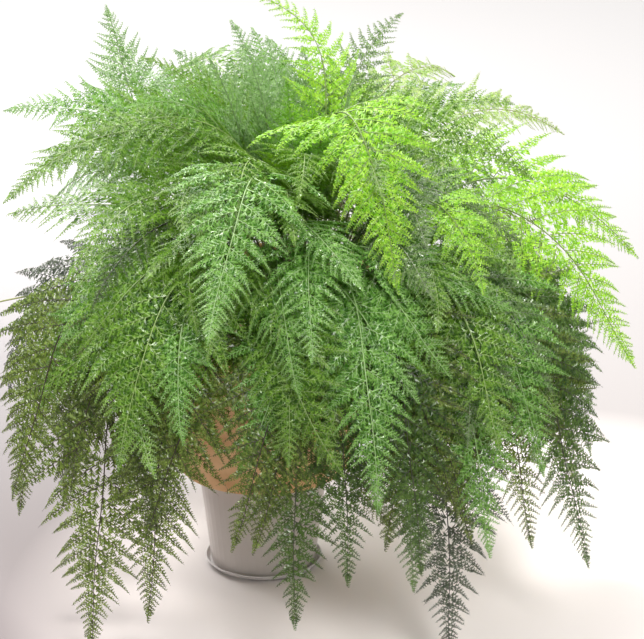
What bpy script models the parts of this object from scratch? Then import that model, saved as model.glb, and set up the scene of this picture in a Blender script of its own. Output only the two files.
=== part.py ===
"""Potted rabbit's foot fern: fronds over a wide bowl that stands on a small pot and a saucer.

Units are metres, +Z is up, and the origin is the centre of the saucer's flat underside.
-Y is the side that is seen first, and +X is to its right.
"""

import math
from typing import NamedTuple

import bmesh
import bpy
import numpy as np

GAP = 0.0003

# Saucer
SAUCER_FOOT_RADIUS = 0.0525
SAUCER_RIM_RADIUS = 0.0600
SAUCER_HEIGHT = 0.0070
SAUCER_FLOOR = 0.0020
SAUCER_WALL = 0.0018

# Small pot under the bowl
POT_FOOT_RADIUS = 0.0535
POT_RIM_RADIUS = 0.0660
POT_HEIGHT = 0.1060
POT_WALL = 0.0030
POT_FLOOR = 0.0040
POT_Z = SAUCER_FLOOR + GAP

# Wide bowl that holds the plant
BOWL_FOOT_RADIUS = 0.0850
BOWL_RIM_RADIUS = 0.1680
BOWL_HEIGHT = 0.1757
BOWL_WALL = 0.0040
BOWL_FLOOR = 0.0060
BOWL_BEAD = 0.0030
BOWL_BEAD_HEIGHT = 0.0080
BOWL_Z = POT_Z + POT_HEIGHT + GAP
RIM_Z = BOWL_Z + BOWL_HEIGHT

# Soil and the mat of rhizomes on it
SOIL_BELOW_RIM = 0.0140
SOIL_Z = RIM_Z - SOIL_BELOW_RIM
MAT_RADIUS = 0.0920
MAT_RISE = 0.0140
MAT_EDGE = 0.0012

# The crown stands a little to one side of the bowl's axis
CROWN_X = 0.0400
CROWN_Y = 0.0000

# Creeping rhizomes
RHIZOME_RADIUS = 0.0062
RHIZOME_TIP = 0.45

# Young bare stalk, which ends in a crozier
STIPE_RADIUS = 0.0009
CROZIER_TURNS = 1.15
CROZIER_POINTS = 15
CROZIER_STRIDE = 0.0062

# Fronds
INNER_ROOT_RADIUS = 0.0120
OUTER_ROOT_RADIUS = 0.0820
STALK_WIDTH = 0.0024
BLADE_THICKNESS = 0.0017
ROOT_CLEARANCE = 0.0012
STRAIGHT_STALK = 0.1300
BEND_LENGTH = 0.3000
FLAT_RADIUS = 0.1600
SIDE_TILT = math.radians(38.0)
PINNA_ANGLE = math.radians(52.0)
TEETH = 8
NOTCH_PART = 0.16
TAPER_POWER = 0.85
STALK_STEPS = 5
STEP = 0.001

TURNING_STEPS = 48

TONES = {
    "lime": (0.33, 0.62, 0.06),
    "mint": (0.20, 0.42, 0.17),
    "leaf": (0.12, 0.34, 0.07),
    "deep": (0.06, 0.20, 0.06),
    "olive": (0.15, 0.27, 0.07),
    "sage": (0.22, 0.30, 0.19),
}


class Frond(NamedTuple):
    """One frond, in degrees and millimetres.

    lean runs from 0, the most upright, to 100, the most spreading. azimuth is the direction that the
    stalk leaves the crown in, from +X towards +Y, and sway turns it further by the tip. droop adds to
    the bend. reach is half the blade's width, and blade is the part of the length that carries it.
    """

    lean: float
    azimuth: float
    length: float
    blade: float
    reach: float
    sway: float
    droop: float
    tone: str


FRONDS = [
    Frond(6, 20, 325, 165, 48, 98, 0, "lime"),
    Frond(13, 50, 316, 155, 48, 0, 0, "sage"),
    Frond(10, 133, 285, 196, 56, 0, -20, "mint"),
    Frond(11, -70, 475, 250, 85, 0, 52, "lime"),
    Frond(16, 178, 300, 165, 46, 0, 0, "leaf"),
    Frond(13, 110, 262, 166, 48, 0, -12, "mint"),
    Frond(20, 215, 325, 180, 56, 0, 0, "mint"),
    Frond(24, -15, 320, 180, 58, 0, 0, "leaf"),
    Frond(30, -154, 411, 220, 62, 0, 0, "mint"),
    Frond(38, 19, 345, 215, 66, 0, 0, "lime"),
    Frond(32, 118, 390, 200, 66, 0, 0, "leaf"),
    Frond(33, 54, 352, 190, 62, 0, 0, "lime"),
    Frond(34, -103, 465, 240, 75, 0, 0, "mint"),
    Frond(46, -136, 350, 200, 60, 0, 0, "leaf"),
    Frond(42, 174, 352, 215, 66, 0, -34, "mint"),
    Frond(43, 82, 390, 200, 66, 0, 0, "leaf"),
    Frond(53, -130, 330, 170, 45, 0, 0, "deep"),
    Frond(46, -47, 350, 190, 62, -9, 0, "lime"),
    Frond(55, -88, 345, 180, 62, 0, 0, "mint"),
    Frond(50, 168, 335, 190, 54, 0, 0, "leaf"),
    Frond(64, -57, 400, 200, 65, 0, 0, "mint"),
    Frond(58, -106, 330, 190, 58, 0, 0, "leaf"),
    Frond(58, -138, 300, 176, 56, 0, 0, "leaf"),
    Frond(72, -47, 400, 210, 68, 0, 0, "mint"),
    Frond(52, -12, 375, 230, 74, 0, -10, "lime"),
    Frond(54, -26, 430, 235, 76, 0, 0, "lime"),
    Frond(63, 92, 400, 200, 66, 0, 0, "leaf"),
    Frond(68, -120, 395, 220, 72, 0, 0, "mint"),
    Frond(77, -31, 385, 200, 62, 0, 0, "sage"),
    Frond(67, 55, 400, 200, 66, 0, 0, "leaf"),
    Frond(68, -78, 420, 210, 65, 0, 0, "mint"),
    Frond(72, -142, 440, 225, 64, 0, 0, "olive"),
    Frond(75, -92, 342, 190, 66, 0, 0, "leaf"),
    Frond(78, -38, 480, 220, 62, 0, 0, "olive"),
    Frond(75, 112, 400, 200, 66, 0, 0, "leaf"),
    Frond(76, -71, 445, 200, 58, 0, 0, "olive"),
    Frond(90, -154, 400, 225, 66, 0, 0, "olive"),
    Frond(79, -58, 430, 210, 62, 0, 0, "mint"),
    Frond(80, -49, 430, 200, 58, 0, 0, "olive"),
    Frond(91, -174, 312, 180, 56, 0, 0, "sage"),
    Frond(85, 80, 400, 200, 66, 0, 0, "leaf"),
    Frond(86, -116, 458, 230, 70, 0, 0, "olive"),
    Frond(87, 139, 332, 190, 75, 0, -150, "sage"),
    Frond(86, -82, 410, 200, 60, 0, 0, "olive"),
    Frond(90, -129, 490, 240, 74, 0, 0, "olive"),
    Frond(91, 30, 400, 200, 66, 0, 0, "leaf"),
    Frond(92, -91, 430, 220, 62, 0, 0, "deep"),
    Frond(95, -69, 392, 190, 56, 0, 0, "sage"),
    Frond(96, 118, 400, 200, 60, 0, 0, "sage"),
    Frond(98, -61, 458, 240, 66, 0, 0, "sage"),
]


def clear_scene():
    for obj in list(bpy.data.objects):
        bpy.data.objects.remove(obj, do_unlink=True)


def make_collection(name):
    collection = bpy.data.collections.new(name)
    bpy.context.scene.collection.children.link(collection)
    return collection


def make_material(name, colour, roughness, metallic=0.0):
    material = bpy.data.materials.new(name)
    material.use_nodes = True
    shader = material.node_tree.nodes["Principled BSDF"]
    shader.inputs["Base Color"].default_value = (*colour, 1.0)
    shader.inputs["Roughness"].default_value = roughness
    shader.inputs["Metallic"].default_value = metallic
    return material


def add_object(name, data, material, parent, collection, location=(0.0, 0.0, 0.0)):
    obj = bpy.data.objects.new(name, data)
    data.materials.append(material)
    collection.objects.link(obj)
    obj.location = location
    obj.parent = parent
    return obj


def add_turned(name, profile, material, parent, collection, location):
    """A solid of revolution. The profile's points are (radius, height), inside first, outer side last."""
    mesh = bpy.data.meshes.new(name)
    points = [(radius, 0.0, height) for radius, height in profile]
    edges = [(i, i + 1) for i in range(len(points) - 1)]
    mesh.from_pydata(points, edges, [])
    obj = add_object(name, mesh, material, parent, collection, location)
    screw = obj.modifiers.new("Turn", "SCREW")
    screw.axis = "Z"
    screw.angle = math.tau
    screw.steps = TURNING_STEPS
    screw.render_steps = TURNING_STEPS
    screw.use_merge_vertices = True
    screw.merge_threshold = 0.00001
    screw.use_smooth_shade = True
    return obj


def rounded_lip(outer_radius, top, width, steps=3):
    """Points of a round-topped lip, from its inner edge over to its outer edge."""
    half = width / 2.0
    centre = outer_radius - half
    angles = [math.pi * (1.0 - i / steps) for i in range(steps + 1)]
    return [(centre + half * math.cos(a), top - half + half * math.sin(a)) for a in angles]


def add_saucer(parent, collection):
    material = make_material("pale_saucer", (0.70, 0.68, 0.68), 0.18)
    inner_foot = SAUCER_RIM_RADIUS - 2.0 * SAUCER_WALL
    profile = [
        (0.0, SAUCER_FLOOR),
        (inner_foot, SAUCER_FLOOR),
        *rounded_lip(SAUCER_RIM_RADIUS, SAUCER_HEIGHT, SAUCER_WALL),
        (SAUCER_FOOT_RADIUS, 0.0),
        (0.0, 0.0),
    ]
    return add_turned("saucer", profile, material, parent, collection, (0.0, 0.0, 0.0))


def add_white_pot(parent, collection):
    material = make_material("white_glaze", (0.72, 0.68, 0.69), 0.35)
    profile = [
        (0.0, POT_FLOOR),
        (POT_FOOT_RADIUS - POT_WALL, POT_FLOOR),
        *rounded_lip(POT_RIM_RADIUS, POT_HEIGHT, POT_WALL),
        (POT_FOOT_RADIUS, 0.0015),
        (POT_FOOT_RADIUS - 0.0015, 0.0),
        (0.0, 0.0),
    ]
    return add_turned("white_pot", profile, material, parent, collection, (0.0, 0.0, POT_Z))


def bowl_radius(height):
    """Outer radius of the bowl's wall at a height above its foot."""
    return BOWL_FOOT_RADIUS + (BOWL_RIM_RADIUS - BOWL_FOOT_RADIUS) * height / BOWL_HEIGHT


def add_bowl(parent, collection):
    material = make_material("terracotta", (0.51, 0.26, 0.12), 0.75)
    bead_z = BOWL_HEIGHT - BOWL_BEAD_HEIGHT
    profile = [
        (0.0, BOWL_FLOOR),
        (bowl_radius(BOWL_FLOOR) - BOWL_WALL, BOWL_FLOOR),
        (bowl_radius(bead_z) - BOWL_WALL, bead_z),
        *rounded_lip(BOWL_RIM_RADIUS + BOWL_BEAD, BOWL_HEIGHT, BOWL_WALL + BOWL_BEAD),
        (bowl_radius(bead_z) + BOWL_BEAD, bead_z),
        (bowl_radius(bead_z), bead_z - 0.0015),
        (BOWL_FOOT_RADIUS, 0.0),
        (0.0, 0.0),
    ]
    return add_turned("bowl", profile, material, parent, collection, (0.0, 0.0, BOWL_Z))


def add_soil(parent, collection):
    """The soil keeps the bowl's taper, a gap inside its wall."""
    material = make_material("soil", (0.05, 0.03, 0.02), 0.95)
    low = BOWL_FLOOR + GAP
    high = BOWL_HEIGHT - SOIL_BELOW_RIM
    side_gap = BOWL_WALL + 2.0 * GAP
    bpy.ops.mesh.primitive_cone_add(
        vertices=TURNING_STEPS,
        radius1=bowl_radius(low) - side_gap,
        radius2=bowl_radius(high) - side_gap,
        depth=high - low,
    )
    soil = bpy.context.object
    soil.name = "soil"
    soil.data.name = "soil"
    soil.data.materials.append(material)
    for owner in list(soil.users_collection):
        owner.objects.unlink(soil)
    collection.objects.link(soil)
    soil.parent = parent
    soil.location = (0.0, 0.0, BOWL_Z + (low + high) / 2.0)
    soil.data.shade_smooth()
    soil.data.set_sharp_from_angle(angle=math.radians(30.0))
    return soil


def mat_height(radius):
    """Height of the rhizome mat's domed top above the soil, at a radius from the crown."""
    return GAP + MAT_EDGE + MAT_RISE * (1.0 - (radius / MAT_RADIUS) ** 2)


def add_rhizome_mat(parent, collection):
    material = make_material("rhizome_fur", (0.28, 0.17, 0.09), 0.9)
    radii = [MAT_RADIUS * i / 6.0 for i in range(7)]
    profile = [(radius, mat_height(radius)) for radius in radii]
    profile += [(MAT_RADIUS, GAP), (0.0, GAP)]
    location = (CROWN_X, CROWN_Y, SOIL_Z)
    return add_turned("rhizome_mat", profile, material, parent, collection, location)


def smooth_path(points, count):
    """Evenly counted points on a Catmull-Rom curve through hand-placed ones."""
    knots = np.array(points, float)
    first = 2.0 * knots[0] - knots[1]
    last = 2.0 * knots[-1] - knots[-2]
    padded = np.vstack([first, knots, last])
    path = []
    for t in np.linspace(0.0, len(knots) - 1.0, count):
        i = min(int(t), len(knots) - 2)
        u = t - i
        a, b, c, d = padded[i : i + 4]
        path.append(
            0.5 * (2.0 * b + (c - a) * u + (2.0 * a - 5.0 * b + 4.0 * c - d) * u**2 + (3.0 * (b - c) + d - a) * u**3)
        )
    return np.array(path)


def add_tube(name, path, radius, taper, material, parent, collection, resolution=2):
    """A round tube along the path. Its radius falls to taper times itself at the far end."""
    curve = bpy.data.curves.new(name, "CURVE")
    curve.dimensions = "3D"
    curve.bevel_depth = radius
    curve.bevel_resolution = resolution
    curve.use_fill_caps = True
    spline = curve.splines.new("POLY")
    spline.points.add(len(path) - 1)
    for i, point in enumerate(path):
        spline.points[i].co = (*point, 1.0)
        spline.points[i].radius = 1.0 + (taper - 1.0) * (i / (len(path) - 1)) ** 3
    return add_object(name, curve, material, parent, collection)


def rhizome_paths():
    """Centre lines of the creeping rhizomes on the soil. The first creeps over the rim."""
    on_soil = SOIL_Z + RHIZOME_RADIUS + GAP
    over_rim = RIM_Z + RHIZOME_RADIUS + 0.0012
    left_front = [
        (-0.080, -0.020, on_soil),
        (-0.108, -0.032, on_soil + 0.001),
        (-0.134, -0.044, on_soil + 0.0050),
        (-0.158, -0.056, over_rim + 0.0012),
        (-0.176, -0.066, over_rim - 0.0030),
        (-0.186, -0.073, RIM_Z - 0.0160),
        (-0.187, -0.077, RIM_Z - 0.0400),
    ]
    left = [
        (-0.076, 0.030, on_soil),
        (-0.098, 0.044, on_soil),
        (-0.112, 0.066, on_soil),
        (-0.106, 0.090, on_soil),
    ]
    back = [
        (-0.060, 0.076, on_soil),
        (-0.052, 0.104, on_soil),
        (-0.024, 0.126, on_soil),
        (0.012, 0.134, on_soil),
        (0.044, 0.128, on_soil),
    ]
    front = [
        (-0.070, -0.068, on_soil),
        (-0.064, -0.096, on_soil),
        (-0.036, -0.120, on_soil),
        (0.000, -0.131, on_soil),
        (0.034, -0.127, on_soil),
    ]
    return [left_front, left, back, front]


def add_rhizomes(parent, collection):
    material = bpy.data.materials["rhizome_fur"]
    rhizomes = []
    for number, points in enumerate(rhizome_paths(), start=1):
        path = smooth_path(points, 3 * len(points))
        name = f"rhizome_{number}"
        rhizomes.append(add_tube(name, path, RHIZOME_RADIUS, RHIZOME_TIP, material, parent, collection))
    return rhizomes


def bare_stipe_path():
    """The young bare stalk leaves the soil at the left, clears the rim and ends in a small crozier."""
    route = [
        (-0.064, 0.006, SOIL_Z + 0.0020),
        (-0.084, 0.004, SOIL_Z + 0.0110),
        (-0.130, 0.000, RIM_Z + 0.0030),
        (-0.168, 0.004, RIM_Z + 0.0038),
        (-0.200, 0.019, RIM_Z + 0.0008),
        (-0.224, 0.032, RIM_Z - 0.0060),
        (-0.262, 0.046, RIM_Z - 0.0185),
        (-0.286, 0.052, RIM_Z - 0.0270),
    ]
    path = smooth_path(route, 22)
    direction = path[-1] - path[-2]
    heading = math.atan2(direction[2], -direction[0])
    spiral = []
    point = path[-1]
    for i in range(1, CROZIER_POINTS):
        part = i / (CROZIER_POINTS - 1)
        angle = heading + CROZIER_TURNS * math.tau * part**0.9
        stride = CROZIER_STRIDE * (1.0 - 0.72 * part)
        point = point + np.array([-math.cos(angle), -0.0004, math.sin(angle)]) * stride
        spiral.append(point)
    return np.vstack([path, spiral])


def add_bare_stipe(parent, collection):
    material = make_material("young_stalk", (0.30, 0.33, 0.12), 0.55)
    return add_tube("bare_stipe", bare_stipe_path(), STIPE_RADIUS, 0.8, material, parent, collection, 1)


class FrondSurface:
    """The surface of revolution about the crown that one frond lies on.

    The angle from the vertical along the stalk grows with lean everywhere, so that the surfaces of
    fronds that lean differently are nested, the more upright ones outside.
    """

    def __init__(self, frond):
        lean = frond.lean / 100.0
        root_radius = INNER_ROOT_RADIUS + (OUTER_ROOT_RADIUS - INNER_ROOT_RADIUS) * lean
        start = math.radians(3.0 + 57.0 * lean)
        end = math.radians(60.0 + 118.0 * math.sqrt(lean) + frond.droop)
        self.length = frond.length / 1000.0
        self.azimuth = math.radians(frond.azimuth)
        self.sway = math.radians(frond.sway)
        self.run = np.arange(0.0, self.length + 0.15, STEP)
        bend = np.clip((self.run - STRAIGHT_STALK * (1.0 - lean)) / BEND_LENGTH, 0.0, 1.0)
        self.angle = start + (end - start) * bend * bend * (3.0 - 2.0 * bend)
        middle = 0.5 * (self.angle[1:] + self.angle[:-1])
        root_z = SOIL_Z + mat_height(root_radius) + ROOT_CLEARANCE
        self.radius = root_radius + np.concatenate([[0.0], np.cumsum(np.sin(middle)) * STEP])
        self.height = root_z + np.concatenate([[0.0], np.cumsum(np.cos(middle)) * STEP])

    def point(self, along, across):
        """A point at a distance along the midrib and at a distance across it, on the surface.

        Close to the crown's axis the blade stays flatter than the surface, as if it were FLAT_RADIUS away.
        A blade at either side of the plant tilts off the surface, its upper side towards the viewer.
        """
        part = along / self.length
        azimuth = self.azimuth + self.sway * part**2
        heading = math.atan(2.0 * self.sway * part * np.interp(along, self.run, self.radius) / self.length)
        run = along - across * math.sin(heading)
        angle = np.interp(run, self.run, self.angle)
        radius = np.interp(run, self.run, self.radius)
        tilt = SIDE_TILT * math.cos(azimuth)
        lift = across * math.sin(tilt)
        curl = max(radius, FLAT_RADIUS)
        turn = across * math.cos(tilt) * math.cos(heading) / curl
        arm = curl - lift * math.cos(angle)
        outward = radius - curl + arm * math.cos(turn)
        sideways = arm * math.sin(turn)
        return np.array(
            [
                CROWN_X + outward * math.cos(azimuth) - sideways * math.sin(azimuth),
                CROWN_Y + outward * math.sin(azimuth) + sideways * math.cos(azimuth),
                np.interp(run, self.run, self.height) + lift * math.sin(angle),
            ]
        )


def frond_mesh(name, frond, origin):
    """One open sheet: a narrow stalk that widens to a midrib with a tooth for each pair of pinnae."""
    surface = FrondSurface(frond)
    blade = frond.blade / 1000.0
    reach = frond.reach / 1000.0
    blade_start = surface.length - blade
    spacing = blade / TEETH
    mesh = bmesh.new()

    def add_point(along, across):
        return mesh.verts.new(surface.point(along, across) - origin)

    def envelope(part):
        return reach * (1.0 - part) ** TAPER_POWER

    half_stalk = STALK_WIDTH / 2.0
    stalk = []
    for i in range(STALK_STEPS):
        along = blade_start * i / STALK_STEPS
        stalk.append((add_point(along, -half_stalk), add_point(along, half_stalk)))
    rows = []
    for i in range(TEETH):
        along = blade_start + i * spacing
        notch = half_stalk + NOTCH_PART * envelope(i / TEETH)
        rows.append((add_point(along, -notch), add_point(along, 0.0), add_point(along, notch)))
    tip = add_point(surface.length, 0.0)

    for lower, upper in zip(stalk, stalk[1:]):
        mesh.faces.new((lower[0], lower[1], upper[1], upper[0]))
    left, right = stalk[-1]
    mesh.faces.new((left, right, rows[0][1]))
    mesh.faces.new((left, rows[0][1], rows[0][0]))
    mesh.faces.new((right, rows[0][2], rows[0][1]))
    for lower, upper in zip(rows, rows[1:]):
        mesh.faces.new((lower[0], lower[1], upper[1], upper[0]))
        mesh.faces.new((lower[1], lower[2], upper[2], upper[1]))
    mesh.faces.new((rows[-1][0], rows[-1][1], tip))
    mesh.faces.new((rows[-1][1], rows[-1][2], tip))
    for i in range(TEETH - 1):
        width = envelope((i + 0.5) / TEETH)
        along = blade_start + (i + 0.5) * spacing + width / math.tan(PINNA_ANGLE)
        left_tooth = add_point(along, -width)
        mesh.faces.new((rows[i][0], rows[i + 1][0], left_tooth))
        right_tooth = add_point(along, width)
        mesh.faces.new((rows[i + 1][2], rows[i][2], right_tooth))
    data = bpy.data.meshes.new(name)
    mesh.to_mesh(data)
    mesh.free()
    data.shade_smooth()
    return data


def add_fronds(parent, collection):
    materials = {tone: make_material(f"frond_{tone}", colour, 0.6) for tone, colour in TONES.items()}
    fronds = []
    for number, frond in enumerate(FRONDS, start=1):
        name = f"frond_{number:02d}"
        origin = FrondSurface(frond).point(0.0, 0.0)
        data = frond_mesh(name, frond, origin)
        obj = add_object(name, data, materials[frond.tone], parent, collection, origin)
        solid = obj.modifiers.new("Thickness", "SOLIDIFY")
        solid.thickness = BLADE_THICKNESS
        solid.offset = 0.0
        fronds.append(obj)
    return fronds


def main():
    clear_scene()
    collection = make_collection("potted_rabbits_foot_fern")
    root = bpy.data.objects.new("potted_fern", None)
    collection.objects.link(root)
    add_saucer(root, collection)
    add_white_pot(root, collection)
    add_bowl(root, collection)
    add_soil(root, collection)
    add_rhizome_mat(root, collection)
    add_rhizomes(root, collection)
    add_bare_stipe(root, collection)
    add_fronds(root, collection)


main()
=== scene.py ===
"""Looks of a potted rabbit's foot fern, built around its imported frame.

Metres, +Z up. -Y is towards the viewer and +X is to the viewer's right.
"""

import math
from typing import NamedTuple

import bpy
import numpy as np
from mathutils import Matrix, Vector


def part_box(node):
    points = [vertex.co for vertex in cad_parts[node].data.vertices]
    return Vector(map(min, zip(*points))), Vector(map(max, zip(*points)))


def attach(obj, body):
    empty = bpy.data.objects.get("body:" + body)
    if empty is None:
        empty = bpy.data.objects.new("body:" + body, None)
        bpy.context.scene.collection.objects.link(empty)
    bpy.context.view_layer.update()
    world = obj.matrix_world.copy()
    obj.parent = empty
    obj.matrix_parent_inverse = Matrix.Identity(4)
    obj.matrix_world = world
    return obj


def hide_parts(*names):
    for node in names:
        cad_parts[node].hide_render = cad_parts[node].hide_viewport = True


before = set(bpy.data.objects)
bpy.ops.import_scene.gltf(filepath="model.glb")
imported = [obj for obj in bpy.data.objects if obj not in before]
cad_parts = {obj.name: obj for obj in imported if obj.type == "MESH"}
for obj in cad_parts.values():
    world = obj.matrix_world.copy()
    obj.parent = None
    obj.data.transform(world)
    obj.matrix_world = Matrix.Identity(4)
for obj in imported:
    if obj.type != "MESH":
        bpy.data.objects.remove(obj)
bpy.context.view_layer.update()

MM = 0.001

# The camera looks down at the plant from the front, at the photograph's angle
IMAGE_WIDTH = 644
SENSOR_WIDTH = 36.0
FOCAL_PIXELS = 3200.0
CAMERA_PITCH = math.radians(21.0)
CAMERA_DISTANCE = 3.2
CAMERA_TARGET = Vector((0.060, 0.0, 0.263))

# The crown stands a little to one side of the bowl's axis
CROWN_X = 0.040
CROWN_Y = 0.0
SOIL_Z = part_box("soil")[1].z
MAT_RADIUS = 0.0920
MAT_RISE = 0.0140
MAT_EDGE = 0.0015

# How a frond stands and bends, as in the frame
INNER_ROOT_RADIUS = 0.0120
OUTER_ROOT_RADIUS = 0.0820
ROOT_CLEARANCE = 0.0012
STRAIGHT_STALK = 0.1300
BEND_LENGTH = 0.3000
STEP = 0.001
SPARE_RUN = 0.15

# A frond's angle from upright, in degrees, and what a full lean adds to it
ROOT_ANGLE = 3.0
ROOT_ANGLE_GAIN = 57.0
TIP_ANGLE = 60.0
TIP_ANGLE_GAIN = 118.0

# A blade curls across its width no more tightly than this radius, and it tilts at the plant's sides
FLAT_RADIUS = 0.1600
SIDE_TILT = math.radians(38.0)

# A blade turns about its midrib: the slope's standard deviation, and how many of them at most
NODE_LOOSENESS = 0.08
FILLER_LOOSENESS = 0.30
MOST_LOOSE = 1.6

# In the groups down to the stalks, gaps, extras and the longest and shortest sizes are in metres,
# angles are in degrees, and a pair of numbers is a mean and a standard deviation

# Pinnae: places are parts of the blade, and lengths are parts of its reach
PINNA_GAP = 0.0125
FEWEST_PINNAE = 10
PINNA_RATIO = 0.88
LAST_PINNA = 0.95
PLACE_JITTER = 0.02
PINNA_ANGLE = (57.0, 4.0)
PINNA_BEND = (17.0, 6.0)
PINNA_LENGTH = 1.45
PINNA_TAPER = 0.92
PINNA_VARIETY = (1.0, 0.06)
SHORTEST_PINNA = 0.004
PINNA_RISE = (0.10, 0.06)
PINNA_SAG = (0.20, 0.08)
NARROW_TIP_START = 0.55
NARROW_TIP_RUN = 0.25
NARROW_TIP_LOSS = 0.15
STAGGER = 0.25

# The blade's narrow tip, where pinnules stand on the midrib itself: lengths are parts of what is left
APEX_START = 0.94
APEX_END = 0.995
APEX_LOBES = 6
APEX_STAGGER = 0.003
APEX_ANGLE = (48.0, 4.0)
APEX_LENGTH = 0.32
APEX_SLOPE = (0.0, 0.10)

# Pinnules: places and lengths are parts of the pinna
PINNULE_GAP = 0.0040
FEWEST_PINNULES = 3
MOST_PINNULES = 17
PINNULE_RATIO = 0.93
FIRST_PINNULE = 0.05
PINNULE_RUN = 0.92
LAST_PINNULE = 0.99
PINNULE_JITTER = 0.04
PINNULE_LENGTH = 0.215
PINNULE_EXTRA = 0.0014
PINNULE_TAPER = 0.95
PINNULE_VARIETY = (1.0, 0.07)
SHORTEST_PINNULE = 0.0016
LOWEST_PINNULES = 2
LOWEST_GAIN = 1.22
PINNULE_ANGLE = 50.0
PINNULE_ANGLE_LOSS = 8.0
PINNULE_ANGLE_DEVIATION = 4.0
PINNULE_SLOPE = (-0.14, 0.09)

# Teeth: places and lengths are parts of the pinnule
TOOTH_GAP = 0.0029
MOST_TEETH = 8
FIRST_TOOTH = 0.35
TOOTH_STAGGER = 0.22
TIP_ROOM = 0.75
TOOTH_JITTER = 0.03
LOWEST_TOOTH = 0.02
HIGHEST_TOOTH = 0.97
TOOTH_LENGTH = 0.38
LONGEST_TOOTH = 0.0054
SHORTEST_TOOTH = 0.0011
TOOTH_TAPER = 0.6
TOOTH_VARIETY = (1.0, 0.12)
TOOTH_WIDTH = 1.10
TOOTH_SPREAD = math.radians(44.0)
TOOTH_FOLD = (0.22, 0.20)
TOOTH_TWIST = (0.0, 0.22)
MOST_TWIST = 0.8

# Stalks and ribs, in metres: the midrib's radii are those at its root, its middle and its tip
MIDRIB_POINTS = 44
MIDRIB_SIDES = 5
MIDRIB_RADII = (0.00120, 0.00080, 0.00022)
MIDRIB_WAVE = 0.0012
WAVE_TURN = 40.0
RIB_SIDES = 3
RIB_POINT_GAP = 0.018
RIB_OVERRUN = 1.02
RIB_RADIUS = 0.00016
RIB_RADIUS_GAIN = 0.0036
RIB_TIP_RADIUS = 0.00012
VEIN_LIFT = 0.00015
NARROWEST_VEIN = 0.00022
WIDEST_VEIN = 0.00045

# A pinnule's vein, in parts of its length: half its width at the foot, and how far it runs
VEIN_WIDTH = 0.030
VEIN_RUN = 0.96

# Seeds of the random draws
FILLER_SEED = 11
FROND_SEED = 1000

# How the fronds without a node stray from their tier, as standard deviations in the tier's units
LEAN_JITTER = 2.5
AZIMUTH_JITTER = 4.0
LENGTH_JITTER = 12.0
REACH_JITTER = 3.0
SWAY_JITTER = 18.0
DROOP_JITTER = 8.0

# The part of such a frond's length that carries its blade
FILLER_BLADE = 0.62

# Which look such a frond has, by lean, by its azimuth's cosine and by chance
UPRIGHT_LEAN = 20.0
HANGING_LEAN = 84.0
RIGHT_SIDE = 0.30
MIST_SHARE = 0.6
SAGE_SHARE = 0.5
LEAF_SHARE = 0.6

# Painted shade darkens the floor at the front left, and painted light makes it paler where the plant's shadow
# falls, so that the shadow stays soft
FLOOR_RADIUS = 14.0
FLOOR_DROP = 0.0006
FLOOR_NEAR_LEFT_PAINTED_SHADE = (0.195, 0.170, 0.173)
FLOOR_NEAR_RIGHT = (0.310, 0.282, 0.278)
FLOOR_BACK = (0.360, 0.352, 0.356)
FLOOR_PAINTED_LIGHT = (0.85, 0.79, 0.77)
SHADOW_CENTRE = (0.24, -0.08, 0.0)
SHADOW_INNER = 0.20
SHADOW_OUTER = 0.50


class Frond(NamedTuple):
    """One frond, in degrees and millimetres.

    lean runs from 0, the most upright, to 100, the most spreading. azimuth is the direction that the
    stalk leaves the crown in, from +X towards +Y, and sway turns it further by the tip. droop adds to
    the bend. reach is about half the blade's width, and blade is the part of the length that carries it.
    tone is not used, and look names the material.
    """

    lean: float
    azimuth: float
    length: float
    blade: float
    reach: float
    sway: float
    droop: float
    tone: str
    look: str


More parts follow.
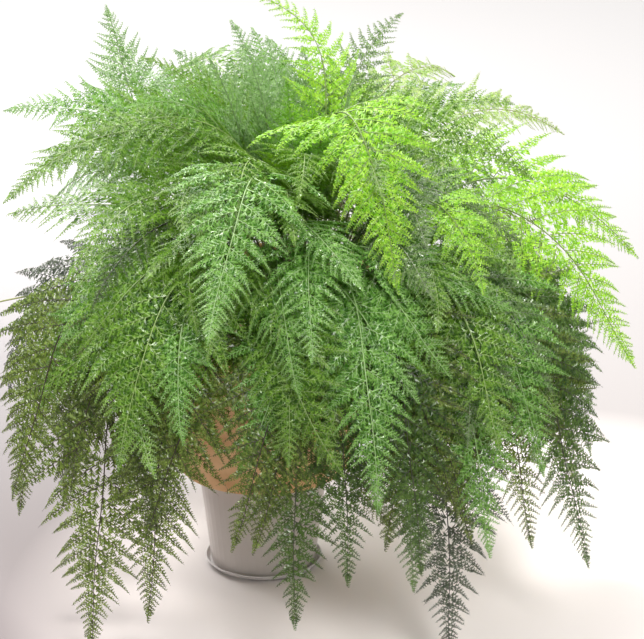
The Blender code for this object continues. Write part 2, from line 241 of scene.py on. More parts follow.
FRONDS = [
    Frond(6, 20, 325, 165, 48, 98, 0, "lime", "lime"),
    Frond(13, 50, 316, 155, 48, 0, 0, "sage", "sage"),
    Frond(10, 133, 285, 196, 56, 0, -20, "mint", "mist"),
    Frond(11, -70, 475, 250, 85, 0, 52, "lime", "lime"),
    Frond(16, 178, 300, 165, 46, 0, 0, "leaf", "leaf"),
    Frond(13, 110, 262, 166, 48, 0, -12, "mint", "mist"),
    Frond(20, 215, 325, 180, 56, 0, 0, "mint", "mint"),
    Frond(24, -15, 320, 180, 58, 0, 0, "leaf", "leaf"),
    Frond(30, -154, 411, 220, 62, 0, 0, "mint", "leaf"),
    Frond(38, 19, 345, 215, 66, 0, 0, "lime", "pale"),
    Frond(32, 118, 390, 200, 66, 0, 0, "leaf", "leaf"),
    Frond(33, 54, 352, 190, 62, 0, 0, "lime", "pale"),
    Frond(34, -103, 465, 240, 75, 0, 0, "mint", "mint"),
    Frond(46, -136, 350, 200, 60, 0, 0, "leaf", "leaf"),
    Frond(42, 174, 352, 215, 66, 0, -34, "mint", "mint"),
    Frond(43, 82, 390, 200, 66, 0, 0, "leaf", "leaf"),
    Frond(53, -130, 330, 170, 45, 0, 0, "deep", "deep"),
    Frond(46, -47, 350, 190, 62, -9, 0, "lime", "lime"),
    Frond(55, -88, 345, 180, 62, 0, 0, "mint", "mint"),
    Frond(50, 168, 335, 190, 54, 0, 0, "leaf", "leaf"),
    Frond(64, -57, 400, 200, 65, 0, 0, "mint", "leaf"),
    Frond(58, -106, 330, 190, 58, 0, 0, "leaf", "leaf"),
    Frond(58, -138, 300, 176, 56, 0, 0, "leaf", "leaf"),
    Frond(72, -47, 400, 210, 68, 0, 0, "mint", "mint"),
    Frond(52, -12, 375, 230, 74, 0, -10, "lime", "lime"),
    Frond(54, -26, 430, 235, 76, 0, 0, "lime", "lime"),
    Frond(63, 92, 400, 200, 66, 0, 0, "leaf", "leaf"),
    Frond(68, -120, 395, 220, 72, 0, 0, "mint", "leaf"),
    Frond(77, -31, 385, 200, 62, 0, 0, "sage", "sage"),
    Frond(67, 55, 400, 200, 66, 0, 0, "leaf", "leaf"),
    Frond(68, -78, 420, 210, 65, 0, 0, "mint", "mint"),
    Frond(72, -142, 440, 225, 64, 0, 0, "olive", "olive"),
    Frond(75, -92, 342, 190, 66, 0, 0, "leaf", "leaf"),
    Frond(78, -38, 480, 220, 62, 0, 0, "olive", "deep"),
    Frond(75, 112, 400, 200, 66, 0, 0, "leaf", "leaf"),
    Frond(76, -71, 445, 200, 58, 0, 0, "olive", "deep"),
    Frond(90, -154, 400, 225, 66, 0, 0, "olive", "olive"),
    Frond(79, -58, 430, 210, 62, 0, 0, "mint", "mint"),
    Frond(80, -49, 430, 200, 58, 0, 0, "olive", "olive"),
    Frond(91, -174, 312, 180, 56, 0, 0, "sage", "grey"),
    Frond(85, 80, 400, 200, 66, 0, 0, "leaf", "leaf"),
    Frond(86, -116, 458, 230, 70, 0, 0, "olive", "olive"),
    Frond(87, 139, 332, 190, 75, 0, -150, "sage", "mist"),
    Frond(86, -82, 410, 200, 60, 0, 0, "olive", "deep"),
    Frond(90, -129, 490, 240, 74, 0, 0, "olive", "olive"),
    Frond(91, 30, 400, 200, 66, 0, 0, "leaf", "leaf"),
    Frond(92, -91, 430, 220, 62, 0, 0, "deep", "deep"),
    Frond(95, -69, 392, 190, 56, 0, 0, "sage", "sage"),
    Frond(96, 118, 400, 200, 60, 0, 0, "sage", "sage"),
    Frond(98, -61, 458, 240, 66, 0, 0, "sage", "grey"),
]


class Tier(NamedTuple):
    """Shorter fronds at one lean and droop, spread evenly from one azimuth to another."""

    lean: float
    length: float
    first: float
    last: float
    count: int
    reach: float
    droop: float


TIERS = [
    Tier(12, 250, -160, -30, 5, 62, -62),
    Tier(24, 350, -146, -50, 6, 66, 16),
    Tier(39, 330, -138, -55, 7, 66, 4),
    Tier(53, 310, -134, -58, 7, 68, 0),
    Tier(65, 318, -132, -54, 8, 70, 0),
    Tier(73, 345, -130, -50, 9, 70, 0),
    Tier(80, 322, -130, -34, 10, 70, 0),
    Tier(87, 366, -128, -48, 9, 70, 0),
    Tier(94, 338, -134, -24, 9, 66, 0),
    Tier(12, 238, 76, 150, 3, 62, -36),
    Tier(26, 268, 84, 158, 4, 66, -38),
    Tier(42, 290, 78, 140, 4, 68, -30),
    Tier(66, 325, 50, 150, 5, 68, -10),
    Tier(90, 350, 20, 130, 6, 64, 0),
]


def varied(rng, mean, deviation, count=None):
    """One number, or count of them, drawn about a mean."""
    return mean + deviation * rng.standard_normal(count)


def filler_look(tier, azimuth, rng):
    if tier.lean > HANGING_LEAN:
        return "olive"
    if azimuth > 0.0 or tier.lean < UPRIGHT_LEAN:
        return "mist" if rng.random() < MIST_SHARE else "mint"
    if math.cos(math.radians(azimuth)) > RIGHT_SIDE:
        return "sage" if rng.random() < SAGE_SHARE else "leaf"
    return "leaf" if rng.random() < LEAF_SHARE else "mint"


def filler_fronds():
    """Fronds that fill the plant between the others. They have no node, which keeps the frame light."""
    rng = np.random.default_rng(FILLER_SEED)
    fronds = []
    for tier in TIERS:
        for middle in np.linspace(tier.first, tier.last, tier.count):
            azimuth = varied(rng, middle, AZIMUTH_JITTER)
            lean = varied(rng, tier.lean, LEAN_JITTER)
            length = varied(rng, tier.length, LENGTH_JITTER)
            reach = varied(rng, tier.reach, REACH_JITTER)
            sway = SWAY_JITTER * rng.standard_normal()
            droop = varied(rng, tier.droop, DROOP_JITTER)
            look = filler_look(tier, azimuth, rng)
            tone = "mint" if look == "mist" else look
            blade = FILLER_BLADE * length
            fronds.append(Frond(lean, azimuth, length, blade, reach, sway, droop, tone, look))
    return fronds


class LeafLook(NamedTuple):
    """A blade's colours in linear light: in the shade, lit, and with light coming through."""

    shade: tuple
    lit: tuple
    through: tuple
    roughness: float
    rib: tuple


# Each look's shade and lit greens are painted shade and painted light, and the pale lit greens of mint and
# mist also stand for painted sheen
LOOKS = {
    "lime": LeafLook(
        shade=(0.150, 0.400, 0.006),
        lit=(0.450, 0.760, 0.060),
        through=(0.560, 0.950, 0.030),
        roughness=0.34,
        rib=(0.160, 0.240, 0.050),
    ),
    "pale": LeafLook(
        shade=(0.200, 0.360, 0.060),
        lit=(0.500, 0.650, 0.220),
        through=(0.560, 0.780, 0.160),
        roughness=0.38,
        rib=(0.300, 0.330, 0.150),
    ),
    "mist": LeafLook(
        shade=(0.080, 0.190, 0.045),
        lit=(0.380, 0.560, 0.260),
        through=(0.340, 0.600, 0.130),
        roughness=0.30,
        rib=(0.170, 0.260, 0.110),
    ),
    "mint": LeafLook(
        shade=(0.036, 0.130, 0.011),
        lit=(0.260, 0.490, 0.110),
        through=(0.260, 0.600, 0.030),
        roughness=0.26,
        rib=(0.250, 0.390, 0.140),
    ),
    "leaf": LeafLook(
        shade=(0.026, 0.090, 0.005),
        lit=(0.220, 0.410, 0.045),
        through=(0.260, 0.540, 0.018),
        roughness=0.28,
        rib=(0.230, 0.330, 0.100),
    ),
    "deep": LeafLook(
        shade=(0.016, 0.050, 0.006),
        lit=(0.120, 0.210, 0.040),
        through=(0.140, 0.300, 0.016),
        roughness=0.28,
        rib=(0.040, 0.045, 0.022),
    ),
    "olive": LeafLook(
        shade=(0.032, 0.068, 0.008),
        lit=(0.240, 0.330, 0.070),
        through=(0.270, 0.400, 0.026),
        roughness=0.30,
        rib=(0.040, 0.028, 0.018),
    ),
    "sage": LeafLook(
        shade=(0.034, 0.086, 0.018),
        lit=(0.230, 0.360, 0.115),
        through=(0.220, 0.420, 0.055),
        roughness=0.26,
        rib=(0.180, 0.230, 0.120),
    ),
    # The grey look's dull grey-green is painted shade, for fronds that hang in the plant's shade
    "grey": LeafLook(
        shade=(0.030, 0.045, 0.030),
        lit=(0.160, 0.190, 0.130),
        through=(0.110, 0.170, 0.070),
        roughness=0.36,
        rib=(0.045, 0.042, 0.035),
    ),
}

# The stalk is brown this near the crown, and takes the rib colour from this far on, which where pale is
# partly the rib's own green and partly painted sheen
BROWN_REACH = 0.060
GREEN_REACH = 0.190
STALK_BROWNS = ((0.060, 0.030, 0.018), (0.130, 0.075, 0.035))
RIB_DIM = 0.7
RIB_BRIGHT = 1.25

# Parts of the two greens in a leaf's middle tone, and the share of light that comes through it
SHADE_PART = 0.45
LIT_PART = 0.55
LEAF_THROUGH = 0.30


class Finish(NamedTuple):
    """A mottled surface: two colours in linear light, the mottle's scale and the relief's depth in metres."""

    dark: tuple
    light: tuple
    scale: float
    relief: float
    roughness: float


FINISHES = {
    "tan_clay": Finish((0.52, 0.28, 0.12), (0.68, 0.42, 0.22), 26.0, 0.0004, 0.72),
    # The white pot's glaze is toned down to a mauve grey: painted shade, as the pot stands in the foliage's
    # shade
    "white_glaze": Finish((0.46, 0.41, 0.38), (0.54, 0.49, 0.46), 9.0, 0.0001, 0.30),
    # The saucer is toned down to the grey of the floor in shadow: painted shade
    "pale_saucer": Finish((0.58, 0.54, 0.53), (0.66, 0.62, 0.61), 14.0, 0.0001, 0.40),
    "dark_soil": Finish((0.018, 0.011, 0.007), (0.070, 0.043, 0.026), 90.0, 0.003, 0.95),
    "rhizome_fur": Finish((0.090, 0.048, 0.022), (0.360, 0.220, 0.110), 160.0, 0.002, 0.85),
    "young_stalk": Finish((0.240, 0.270, 0.090), (0.370, 0.380, 0.170), 60.0, 0.0001, 0.45),
}

NODE_FINISHES = {
    "bowl": "tan_clay",
    "white_pot": "white_glaze",
    "saucer": "pale_saucer",
    "soil": "dark_soil",
    "rhizome_mat": "rhizome_fur",
    "rhizome_1": "rhizome_fur",
    "rhizome_2": "rhizome_fur",
    "rhizome_3": "rhizome_fur",
    "rhizome_4": "rhizome_fur",
    "bare_stipe": "young_stalk",
}


def linked(tree, kind, **inputs):
    """A new node with values or links given by input name."""
    node = tree.nodes.new(kind)
    for name, value in inputs.items():
        socket = node.inputs[name.replace("_", " ")]
        if isinstance(value, bpy.types.NodeSocket):
            tree.links.new(value, socket)
        else:
            socket.default_value = value
    return node


def new_material(name):
    material = bpy.data.materials.new(name)
    material.use_nodes = True
    material.node_tree.nodes.clear()
    return material, material.node_tree


def noise(tree, scale, detail=2.0):
    vector = tree.nodes.new("ShaderNodeTexCoord").outputs["Object"]
    node = linked(tree, "ShaderNodeTexNoise", Scale=scale, Detail=detail, Vector=vector)
    return node.outputs["Fac"]


def spread(tree, value, low, high):
    """The value stretched so that low becomes 0 and high becomes 1."""
    node = linked(tree, "ShaderNodeMapRange", Value=value, From_Min=low, From_Max=high)
    return node.outputs["Result"]


def distance(tree, place, centre):
    """How far a place is from a fixed centre."""
    node = linked(tree, "ShaderNodeVectorMath", Vector=place)
    node.operation = "DISTANCE"
    node.inputs[1].default_value = centre
    return node.outputs["Value"]


def mixed_colour(tree, factor, first, second):
    node = tree.nodes.new("ShaderNodeMix")
    node.data_type = "RGBA"
    sockets = {s.identifier: s for s in node.inputs}
    tree.links.new(factor, sockets["Factor_Float"])
    for identifier, colour in (("A_Color", first), ("B_Color", second)):
        if isinstance(colour, bpy.types.NodeSocket):
            tree.links.new(colour, sockets[identifier])
        else:
            sockets[identifier].default_value = (*colour, 1.0)
    return next(s for s in node.outputs if s.identifier == "Result_Color")


def finish_material(tree, surface):
    output = tree.nodes.new("ShaderNodeOutputMaterial")
    tree.links.new(surface, output.inputs["Surface"])


def leaf_material(name, look):
    """Thin leaf: painted light and shade in broad and fine spots, a soft gloss, and light that comes through
    from behind.
    """
    material, tree = new_material(name)
    # Painted light and shade: broad spots mix the lit green with a middle tone, and fine speckles turn the
    # leaf to its shade green
    painted_light_patches = spread(tree, noise(tree, scale=22.0, detail=2.0), low=0.30, high=0.75)
    painted_shade_speckle = spread(tree, noise(tree, scale=240.0, detail=1.0), low=0.38, high=0.62)
    middle = tuple(SHADE_PART * a + LIT_PART * b for a, b in zip(look.shade, look.lit))
    light = mixed_colour(tree, painted_light_patches, look.lit, middle)
    colour = mixed_colour(tree, painted_shade_speckle, look.shade, light)
    gloss = linked(
        tree,
        "ShaderNodeBsdfPrincipled",
        Base_Color=colour,
        Roughness=look.roughness,
        Specular_IOR_Level=0.45,
    )
    through = linked(tree, "ShaderNodeBsdfTranslucent", Color=(*look.through, 1.0))
    mix = tree.nodes.new("ShaderNodeMixShader")
    mix.inputs[0].default_value = LEAF_THROUGH
    tree.links.new(gloss.outputs["BSDF"], mix.inputs[1])
    tree.links.new(through.outputs["BSDF"], mix.inputs[2])
    finish_material(tree, mix.outputs["Shader"])
    return material


def rib_material(name, rib):
    """Stalk and ribs: dark brown at the crown, and the blade's rib colour higher up, where pale partly
    painted sheen.
    """
    material, tree = new_material(name)
    place = tree.nodes.new("ShaderNodeTexCoord").outputs["Object"]
    from_crown = distance(tree, place, (CROWN_X, CROWN_Y, SOIL_Z))
    along = spread(tree, from_crown, BROWN_REACH, GREEN_REACH)
    brown = mixed_colour(tree, noise(tree, scale=120.0), *STALK_BROWNS)
    dim = tuple(RIB_DIM * c for c in rib)
    bright = tuple(RIB_BRIGHT * c for c in rib)
    green = mixed_colour(tree, noise(tree, scale=90.0), dim, bright)
    colour = mixed_colour(tree, along, brown, green)
    shader = linked(
        tree,
        "ShaderNodeBsdfPrincipled",
        Base_Color=colour,
        Roughness=0.42,
        Specular_IOR_Level=0.5,
    )
    finish_material(tree, shader.outputs["BSDF"])
    return material


def mottled_material(name, finish):
    """A mottled surface with a fine relief."""
    material, tree = new_material(name)
    mottle = spread(tree, noise(tree, finish.scale, detail=6.0), low=0.35, high=0.65)
    colour = mixed_colour(tree, mottle, finish.dark, finish.light)
    relief = linked(
        tree,
        "ShaderNodeBump",
        Strength=0.6,
        Distance=finish.relief,
        Height=noise(tree, 4.0 * finish.scale, detail=4.0),
    )
    shader = linked(
        tree,
        "ShaderNodeBsdfPrincipled",
        Base_Color=colour,
        Roughness=finish.roughness,
        Normal=relief.outputs["Normal"],
    )
    finish_material(tree, shader.outputs["BSDF"])
    return material


class FrondSurface:
    """The surface of revolution about the crown that one frond lies on, as in the frame."""

    def __init__(self, frond):
        lean = frond.lean / 100.0
        root_radius = INNER_ROOT_RADIUS + (OUTER_ROOT_RADIUS - INNER_ROOT_RADIUS) * lean
        start = math.radians(ROOT_ANGLE + ROOT_ANGLE_GAIN * lean)
        end = math.radians(TIP_ANGLE + TIP_ANGLE_GAIN * math.sqrt(lean) + frond.droop)
        self.length = frond.length * MM
        self.azimuth = math.radians(frond.azimuth)
        self.sway = math.radians(frond.sway)
        self.run = np.arange(0.0, self.length + SPARE_RUN, STEP)
        bend = np.clip((self.run - STRAIGHT_STALK * (1.0 - lean)) / BEND_LENGTH, 0.0, 1.0)
        self.angle = start + (end - start) * bend * bend * (3.0 - 2.0 * bend)
        middle = 0.5 * (self.angle[1:] + self.angle[:-1])
        mat_height = MAT_EDGE + MAT_RISE * (1.0 - (root_radius / MAT_RADIUS) ** 2)
        self.radius = root_radius + np.concatenate([[0.0], np.cumsum(np.sin(middle)) * STEP])
        root_z = SOIL_Z + mat_height + ROOT_CLEARANCE
        self.height = root_z + np.concatenate([[0.0], np.cumsum(np.cos(middle)) * STEP])

    def points(self, flat):
        """Places in space for rows of (along, across, lift): lift is off the blade's upper side.

        A blade at either side of the plant tilts off the surface, its upper side towards the viewer.
        """
        along, across, lift = flat.T
        part = along / self.length
        azimuth = self.azimuth + self.sway * part**2
        heading = np.arctan(2.0 * self.sway * part * np.interp(along, self.run, self.radius) / self.length)
        run = along - across * np.sin(heading)
        angle = np.interp(run, self.run, self.angle)
        radius = np.interp(run, self.run, self.radius)
        tilt = SIDE_TILT * np.cos(azimuth)
        level = across * np.cos(tilt) - lift * np.sin(tilt)
        raised = across * np.sin(tilt) + lift * np.cos(tilt)
        curl = np.maximum(radius, FLAT_RADIUS)
        turn = level * np.cos(heading) / curl
        arm = curl - raised * np.cos(angle)
        outward = radius - curl + arm * np.cos(turn)
        sideways = arm * np.sin(turn)
        height = np.interp(run, self.run, self.height) + raised * np.sin(angle)
        x = CROWN_X + outward * np.cos(azimuth) - sideways * np.sin(azimuth)
        y = CROWN_Y + outward * np.sin(azimuth) + sideways * np.cos(azimuth)
        return np.column_stack([x, y, height])


class Shape:
    """Triangles of one piece, gathered in parts, each with a material index."""

    def __init__(self):
        self.points = []
        self.triangles = []
        self.materials = []
        self.count = 0

    def add(self, points, triangles, material):
        self.points.append(points)
        self.triangles.append(triangles + self.count)
        self.materials.append(np.full(len(triangles), material, np.int32))
        self.count += len(points)

    def mesh(self, name):
        points = np.concatenate(self.points)
        triangles = np.concatenate(self.triangles)
        mesh = bpy.data.meshes.new(name)
        mesh.vertices.add(len(points))
        mesh.vertices.foreach_set("co", points.astype(np.float32).ravel())
        mesh.loops.add(triangles.size)
        mesh.loops.foreach_set("vertex_index", triangles.astype(np.int32).ravel())
        mesh.polygons.add(len(triangles))
        mesh.polygons.foreach_set("loop_start", np.arange(0, triangles.size, 3, dtype=np.int32))
        mesh.polygons.foreach_set("material_index", np.concatenate(self.materials))
        mesh.update(calc_edges=True)
        mesh.validate()
        return mesh


def tube(path, radii, sides):
    """Points and triangles of a round tube, closed at both ends."""
    ahead = np.gradient(path, axis=0)
    ahead /= np.linalg.norm(ahead, axis=1, keepdims=True)
    guide = np.array([0.0, 0.0, 1.0]) if abs(ahead[:, 2]).mean() < 0.9 else np.array([1.0, 0.0, 0.0])
    across = np.cross(ahead, guide)
    across /= np.linalg.norm(across, axis=1, keepdims=True)
    over = np.cross(across, ahead)
    turns = np.arange(sides) * math.tau / sides
    ring = np.cos(turns)[None, :, None] * across[:, None] + np.sin(turns)[None, :, None] * over[:, None]
    rings = path[:, None] + ring * radii[:, None, None]
    points = np.concatenate([rings.reshape(-1, 3), path[:1], path[-1:]])
    row = np.arange(len(path) - 1)[:, None] * sides
    here = np.arange(sides)[None, :]
    beyond = (here + 1) % sides
    a, b, c, d = row + here, row + beyond, row + sides + beyond, row + sides + here
    wall = np.concatenate([np.stack([a, b, c], -1).reshape(-1, 3), np.stack([a, c, d], -1).reshape(-1, 3)])
    first, last = len(path) * sides, len(path) * sides + 1
    end = (len(path) - 1) * sides
    caps = np.concatenate(
        [
            np.stack([np.full(sides, first), beyond[0], here[0]], -1),
            np.stack([np.full(sides, last), end + here[0], end + beyond[0]], -1),
        ]
    )
    return points, np.concatenate([wall, caps])


def teeth(base, axis, side, length, width, drop, twist):
    """Flat points and triangles of many small teeth, each with a foot along its rib and a tip."""
    forward = np.column_stack([np.cos(axis), np.sin(axis), np.tan(twist)]) * (0.5 * width)[:, None]
    heading = axis + side * TOOTH_SPREAD
    tip = base + np.column_stack([length * np.cos(heading), length * np.sin(heading), -drop])
    points = np.stack([base - side[:, None] * forward, base + side[:, None] * forward, tip], 1)
    return points.reshape(-1, 3), np.arange(3 * len(base)).reshape(-1, 3)


def closing_up(count, ratio):
    """Positions from 0 towards 1, each gap shorter than the last by a ratio."""
    return (1.0 - ratio ** np.arange(count)) / (1.0 - ratio**count)


def arc(start, heading, bend, length, part):
    """Points and headings along a flat curve that turns evenly by bend over its length."""
    bend = np.where(np.abs(bend) < 1e-4, 1e-4, bend)
    turned = heading + bend * part
    x = start[0] + length * (np.sin(turned) - np.sin(heading)) / bend
    y = start[1] - length * (np.cos(turned) - np.cos(heading)) / bend
    return x, y, turned


class Pinna(NamedTuple):
    """One branch of the blade, in the blade's flat coordinates. side is -1 or 1."""

    start: tuple
    heading: float
    bend: float
    length: float
    rise: float
    sag: float
    side: float

    def lift(self, part):
        return self.length * (self.rise * part - self.sag * part * part)


def frond_pinnae(frond, rng):
    """The pinnae of one frond, alternate along its midrib."""
    blade = frond.blade * MM
    reach = frond.reach * MM
    blade_start = frond.length * MM - blade
    count = max(FEWEST_PINNAE, round(blade / PINNA_GAP))
    place = closing_up(count, PINNA_RATIO) * LAST_PINNA
    gap = np.gradient(place)
    pinnae = []
    for side in (-1.0, 1.0):
        for x, step in zip(place, gap):
            x = x + STAGGER * side * step + PLACE_JITTER * step * rng.standard_normal()
            x = max(x, 0.0)
            heading = math.radians(varied(rng, *PINNA_ANGLE))
            bend = -math.radians(varied(rng, *PINNA_BEND))
            near_tip = min(max((x - NARROW_TIP_START) / NARROW_TIP_RUN, 0.0), 1.0)
            narrow_tip = 1.0 - NARROW_TIP_LOSS * near_tip
            taper = (1.0 - x) ** PINNA_TAPER
            length = PINNA_LENGTH * reach * taper * narrow_tip * varied(rng, *PINNA_VARIETY)
            pinnae.append(
                Pinna(
                    start=(blade_start + x * blade, 0.0),
                    heading=side * heading,
                    bend=side * bend,
                    length=max(length, SHORTEST_PINNA),
                    rise=varied(rng, *PINNA_RISE),
                    sag=varied(rng, *PINNA_SAG),
                    side=side,
                )
            )
    return pinnae


def apex_pinnules(frond, rng):
    """Rows like those of pinna_pinnules for the narrow tip of a blade."""
    blade = frond.blade * MM
    part = np.repeat(np.linspace(APEX_START, APEX_END, APEX_LOBES), 2)
    side = np.tile([-1.0, 1.0], APEX_LOBES)
    part = part + APEX_STAGGER * side
    starts = np.column_stack([frond.length * MM - blade * (1.0 - part), np.zeros_like(part)])
    headings = side * np.radians(varied(rng, *APEX_ANGLE, len(part)))
    lengths = SHORTEST_PINNULE + APEX_LENGTH * (1.0 - part) * blade
    return starts, headings, lengths, np.zeros_like(part), varied(rng, *APEX_SLOPE, len(part))


def pinna_pinnules(pinna, rng):
    """Rows of start, heading, length, lift and slope for the pinnules on both sides of a pinna.

    The lowest ones on the side towards the frond's tip are the longest.
    """
    per_side = int(np.clip(round(pinna.length / PINNULE_GAP) + 2, FEWEST_PINNULES, MOST_PINNULES))
    place = closing_up(per_side, PINNULE_RATIO) * PINNULE_RUN + FIRST_PINNULE
    gap = np.gradient(place)
    rows = []
    for side in (-1.0, 1.0):
        part = place + STAGGER * side * gap + PINNULE_JITTER * gap * rng.standard_normal(per_side)
        part = np.clip(part, 0.0, LAST_PINNULE)
        x, y, turned = arc(pinna.start, pinna.heading, pinna.bend, pinna.length, part)
        length = (PINNULE_LENGTH * pinna.length + PINNULE_EXTRA) * (1.0 - part) ** PINNULE_TAPER
        if side * pinna.side < 0.0:
            length[:LOWEST_PINNULES] *= LOWEST_GAIN
        length *= varied(rng, *PINNULE_VARIETY, per_side)
        angle = varied(rng, PINNULE_ANGLE - PINNULE_ANGLE_LOSS * part, PINNULE_ANGLE_DEVIATION, per_side)
        heading = turned + side * np.radians(angle)
        slope = varied(rng, *PINNULE_SLOPE, per_side)
        starts = np.column_stack([x, y])
        rows.append((starts, heading, np.maximum(length, SHORTEST_PINNULE), pinna.lift(part), slope))
    return [np.concatenate(column) for column in zip(*rows)]


def pinnule_parts(starts, headings, lengths, lifts, slopes, rng):
    """The teeth of all pinnules at once, and the thin vein along each one's middle."""
    per_side = np.clip(np.round(lengths / TOOTH_GAP), 1, MOST_TEETH).astype(int)
    owner = np.repeat(np.arange(len(lengths)), 2 * per_side)
    order = np.concatenate([np.arange(2 * n) for n in per_side])
    side = np.where(order % 2 == 0, -1.0, 1.0)
    part = (order // 2 + FIRST_TOOTH + TOOTH_STAGGER * side) / (per_side[owner] + TIP_ROOM)
    part = part + TOOTH_JITTER * rng.standard_normal(len(part))
    part = np.clip(part, LOWEST_TOOTH, HIGHEST_TOOTH)
    run = lengths[owner] * part
    base = np.column_stack(
        [
            starts[owner, 0] + run * np.cos(headings[owner]),
            starts[owner, 1] + run * np.sin(headings[owner]),
            lifts[owner] + slopes[owner] * run,
        ]
    )
    length = np.minimum(TOOTH_LENGTH * lengths[owner], LONGEST_TOOTH) * (1.0 - part) ** TOOTH_TAPER
    length += SHORTEST_TOOTH
    length *= varied(rng, *TOOTH_VARIETY, len(part))
    width = TOOTH_WIDTH * lengths[owner] / (per_side[owner] + TIP_ROOM)
    width = np.minimum(width, TOOTH_WIDTH * length)
    drop = length * varied(rng, *TOOTH_FOLD, len(part))
    twist = np.clip(varied(rng, *TOOTH_TWIST, len(part)), -MOST_TWIST, MOST_TWIST)
    blades = teeth(base, headings[owner], side, length, width, drop, twist)
    # Veins in the rib colour, which where pale is partly their own paler green and partly painted sheen along
    # them
    across = np.column_stack([-np.sin(headings), np.cos(headings), np.zeros_like(headings)])
    across *= np.clip(VEIN_WIDTH * lengths, NARROWEST_VEIN, WIDEST_VEIN)[:, None]
    foot = np.column_stack([starts, lifts + VEIN_LIFT])
    ahead = np.column_stack([np.cos(headings), np.sin(headings), slopes]) * (VEIN_RUN * lengths)[:, None]
    veins = np.stack([foot + across, foot - across, foot + ahead], 1).reshape(-1, 3)
    return blades, (veins, np.arange(len(veins)).reshape(-1, 3))


def frond_shape(frond, number, looseness):
    """All of one frond: stalk and midrib, the ribs of its pinnae, and every tooth."""
    rng = np.random.default_rng(FROND_SEED + number)
    surface = FrondSurface(frond)
    shape = Shape()
    tilt = looseness * np.clip(rng.standard_normal(), -MOST_LOOSE, MOST_LOOSE)

    def placed(flat):
        return surface.points(flat + np.column_stack([np.zeros((len(flat), 2)), tilt * flat[:, 1]]))

    along = np.linspace(0.0, surface.length, MIDRIB_POINTS)
    wave = MIDRIB_WAVE * np.sin(along * WAVE_TURN + number)
    path = placed(np.column_stack([along, wave, np.zeros_like(along)]))
    radii = np.interp(along / surface.length, [0.0, 0.5, 1.0], MIDRIB_RADII)
    shape.add(*tube(path, radii, MIDRIB_SIDES), 1)
    rows = [apex_pinnules(frond, rng)]
    for pinna in frond_pinnae(frond, rng):
        part = np.linspace(0.0, 1.0, 3 + round(pinna.length / RIB_POINT_GAP))
        x, y, _ = arc(pinna.start, pinna.heading, pinna.bend, pinna.length * RIB_OVERRUN, part)
        rib = placed(np.column_stack([x, y, pinna.lift(part)]))
        thick = np.interp(part, [0.0, 1.0], [RIB_RADIUS + RIB_RADIUS_GAIN * pinna.length, RIB_TIP_RADIUS])
        shape.add(*tube(rib, thick, RIB_SIDES), 1)
        rows.append(pinna_pinnules(pinna, rng))
    joined = [np.concatenate(column) for column in zip(*rows)]
    for material, (points, triangles) in enumerate(pinnule_parts(*joined, rng)):
        shape.add(placed(points), triangles, material)
    return shape


def add_piece(name, mesh, materials):
    piece = bpy.data.objects.new(name, mesh)
    bpy.context.scene.collection.objects.link(piece)
    for material in materials:
        mesh.materials.append(material)
    return piece


def add_frond(number, frond, looseness, leaves, ribs):
    mesh = frond_shape(frond, number, looseness).mesh(f"lacy_frond_{number:02d}")
    piece = add_piece(mesh.name, mesh, [leaves[frond.look], ribs[frond.look]])
    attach(piece, "root")
    return piece


def add_fronds():
    leaves = {name: leaf_material(f"leaf_{name}", look) for name, look in LOOKS.items()}
    ribs = {name: rib_material(f"rib_{name}", look.rib) for name, look in LOOKS.items()}
    for number, frond in enumerate(FRONDS, start=1):
        piece = add_frond(number, frond, NODE_LOOSENESS, leaves, ribs)
        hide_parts(f"frond_{number:02d}")
    for number, frond in enumerate(filler_fronds(), start=len(FRONDS) + 1):
        add_frond(number, frond, FILLER_LOOSENESS, leaves, ribs)


def finish_nodes():
    """The surfaces of the nodes that keep the frame's own shape."""
    materials = {name: mottled_material(name, finish) for name, finish in FINISHES.items()}
    for node, finish_name in NODE_FINISHES.items():
        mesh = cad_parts[node].data
        mesh.materials.clear()
        mesh.materials.append(materials[finish_name])


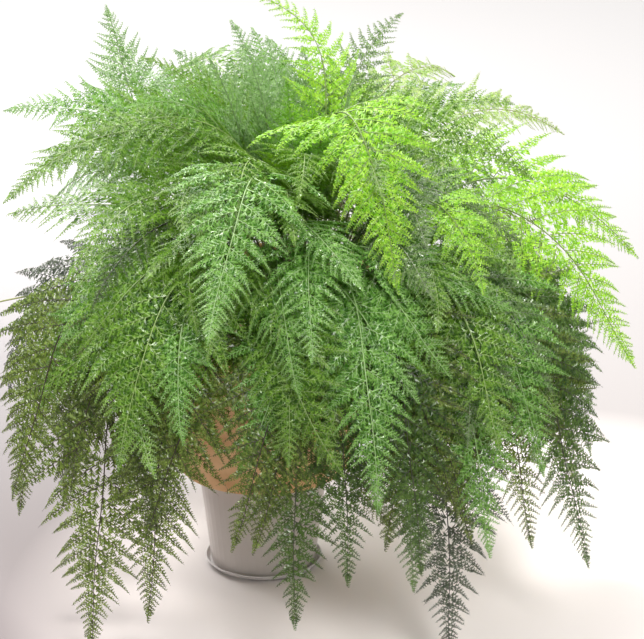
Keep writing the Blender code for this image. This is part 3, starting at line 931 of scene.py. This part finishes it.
def add_floor():
    """A wide floor, mauve grey near the plant with painted shade at the left, paler further back, and with
    painted light in the plant's shadow.
    """
    bpy.ops.mesh.primitive_circle_add(
        vertices=96,
        radius=FLOOR_RADIUS,
        fill_type="NGON",
        location=(0.0, 0.0, -FLOOR_DROP),
    )
    floor = bpy.context.object
    floor.name = "floor"
    material, tree = new_material("floor")
    place = tree.nodes.new("ShaderNodeTexCoord").outputs["Object"]
    split = linked(tree, "ShaderNodeSeparateXYZ", Vector=place)
    back = spread(tree, split.outputs["Y"], low=-0.15, high=1.3)
    right = spread(tree, split.outputs["X"], low=-0.15, high=0.40)
    # Painted shade: the floor near the plant is darkest at the left and grows paler to the right and further
    # back
    near = mixed_colour(tree, right, FLOOR_NEAR_LEFT_PAINTED_SHADE, FLOOR_NEAR_RIGHT)
    open_floor = mixed_colour(tree, back, near, FLOOR_BACK)
    # Painted light where the plant's shadow falls
    painted_light_mask = spread(tree, distance(tree, place, SHADOW_CENTRE), SHADOW_OUTER, SHADOW_INNER)
    colour = mixed_colour(tree, painted_light_mask, open_floor, FLOOR_PAINTED_LIGHT)
    shader = linked(
        tree,
        "ShaderNodeBsdfPrincipled",
        Base_Color=colour,
        Roughness=0.6,
        Specular_IOR_Level=0.1,
    )
    finish_material(tree, shader.outputs["BSDF"])
    floor.data.materials.append(material)


def add_light(name, kind, place, energy, size, colour):
    """A soft lamp that looks at the plant from a place.

    size is the side of an area lamp in metres, or the angle that a distant lamp fills in the sky.
    """
    data = bpy.data.lights.new(name, kind)
    data.energy = energy
    data.color = colour
    if kind == "SUN":
        data.angle = size
    else:
        data.size = size
    light = bpy.data.objects.new(name, data)
    bpy.context.scene.collection.objects.link(light)
    light.location = place
    light.rotation_euler = (Vector(place) - CAMERA_TARGET).to_track_quat("Z", "Y").to_euler()


def add_lights():
    world = bpy.data.worlds.new("studio")
    world.use_nodes = True
    background = world.node_tree.nodes["Background"]
    background.inputs["Color"].default_value = (1.0, 0.99, 0.98, 1.0)
    background.inputs["Strength"].default_value = 0.55
    bpy.context.scene.world = world
    add_light(
        "key",
        "SUN",
        place=(-0.5, 0.1, 2.0),
        energy=3.0,
        size=math.radians(10.0),
        colour=(1.0, 0.98, 0.93),
    )
    add_light(
        "window",
        "AREA",
        place=(-0.9, 1.4, 1.7),
        energy=80.0,
        size=1.8,
        colour=(1.0, 1.0, 1.0),
    )
    add_light(
        "front",
        "SUN",
        place=(0.7, -1.8, 2.0),
        energy=2.4,
        size=math.radians(16.0),
        colour=(1.0, 1.0, 0.98),
    )


def add_camera():
    data = bpy.data.cameras.new("camera")
    data.sensor_fit = "HORIZONTAL"
    data.sensor_width = SENSOR_WIDTH
    data.lens = FOCAL_PIXELS * SENSOR_WIDTH / IMAGE_WIDTH
    data.dof.use_dof = False
    camera = bpy.data.objects.new("camera", data)
    bpy.context.scene.collection.objects.link(camera)
    offset = Vector((0.0, -math.cos(CAMERA_PITCH), math.sin(CAMERA_PITCH))) * CAMERA_DISTANCE
    camera.location = CAMERA_TARGET + offset
    camera.rotation_euler = (math.pi / 2.0 - CAMERA_PITCH, 0.0, 0.0)
    bpy.context.scene.camera = camera


add_camera()
add_lights()
add_floor()
finish_nodes()
add_fronds()
bpy.context.scene.view_settings.view_transform = "Standard"
